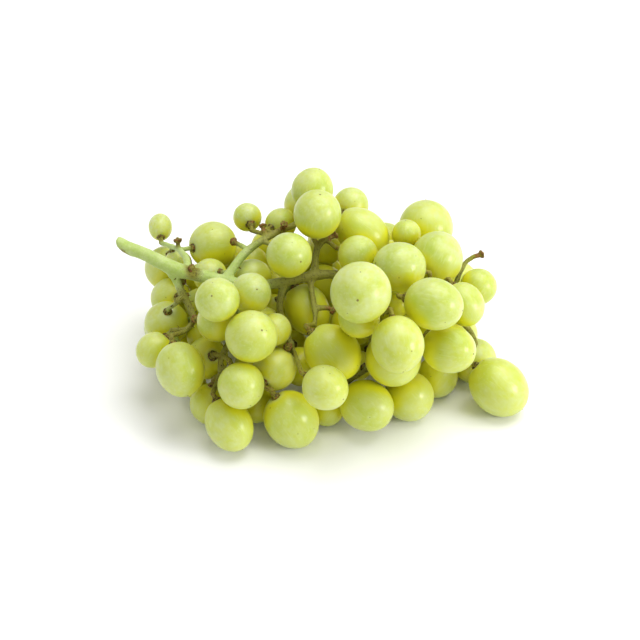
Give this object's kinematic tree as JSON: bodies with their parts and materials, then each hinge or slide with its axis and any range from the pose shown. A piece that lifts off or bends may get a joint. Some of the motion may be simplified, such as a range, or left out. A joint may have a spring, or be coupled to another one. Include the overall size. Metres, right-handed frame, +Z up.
{
  "type": "bunch of grapes",
  "caption": "Bunch of round pale green table grapes on its branching green stem, lying on its side on a flat surface.",
  "frame": {"origin": "middle of the bounding box of the lying bunch, on the surface that it lies on", "axes": "+X runs along the main stem from the cut end to the tip, +Z is up, away from the surface"},
  "size_m": [0.164, 0.12, 0.0809],
  "materials": {
    "grape_skin": "thin translucent grape skin with a faint bloom, softly glossy, yellow-green to olive",
    "stem": "green fresh stem, ribbed and matt, browning at the cut end, the joints and the stalk ends"
  },
  "bodies": {
    "root": {"berry_back_left_1": "grape_skin", "berry_back_left_2": "grape_skin", "berry_back_left_3": "grape_skin", "berry_back_middle_1": "grape_skin", "berry_back_middle_2": "grape_skin", "berry_back_middle_3": "grape_skin", "berry_back_middle_4": "grape_skin", "berry_back_right_1": "grape_skin", "berry_back_right_2": "grape_skin", "berry_back_right_3": "grape_skin", "berry_back_right_4": "grape_skin", "berry_back_right_5": "grape_skin", "berry_crown_1": "grape_skin", "berry_crown_2": "grape_skin", "berry_crown_3": "grape_skin", "berry_crown_4": "grape_skin", "berry_drop_1": "grape_skin", "berry_flank_1": "grape_skin", "berry_flank_2": "grape_skin", "berry_flank_3": "grape_skin", "berry_flank_4": "grape_skin", "berry_flank_5": "grape_skin", "berry_front_1": "grape_skin", "berry_front_2": "grape_skin", "berry_front_3": "grape_skin", "berry_front_4": "grape_skin", "berry_front_5": "grape_skin", "berry_front_6": "grape_skin", "berry_left_1": "grape_skin", "berry_left_2": "grape_skin", "berry_left_3": "grape_skin", "berry_left_4": "grape_skin", "berry_left_5": "grape_skin", "berry_left_6": "grape_skin", "berry_left_7": "grape_skin", "berry_left_8": "grape_skin", "berry_left_9": "grape_skin", "berry_middle_1": "grape_skin", "berry_middle_2": "grape_skin", "berry_middle_3": "grape_skin", "berry_middle_4": "grape_skin", "berry_shoulder_1": "grape_skin", "berry_shoulder_2": "grape_skin", "berry_shoulder_3": "grape_skin", "berry_shoulder_4": "grape_skin", "berry_shoulder_5": "grape_skin", "berry_shoulder_6": "grape_skin", "berry_spur_1": "grape_skin", "berry_spur_2": "grape_skin", "berry_spur_3": "grape_skin", "berry_tip_1": "grape_skin", "berry_tip_2": "grape_skin", "berry_tip_3": "grape_skin", "berry_tip_4": "grape_skin", "berry_wing_1": "grape_skin", "berry_wing_2": "grape_skin", "berry_wing_3": "grape_skin", "berry_wing_4": "grape_skin", "berry_wing_5": "grape_skin", "stem": "stem"}
  },
  "joints": []
}
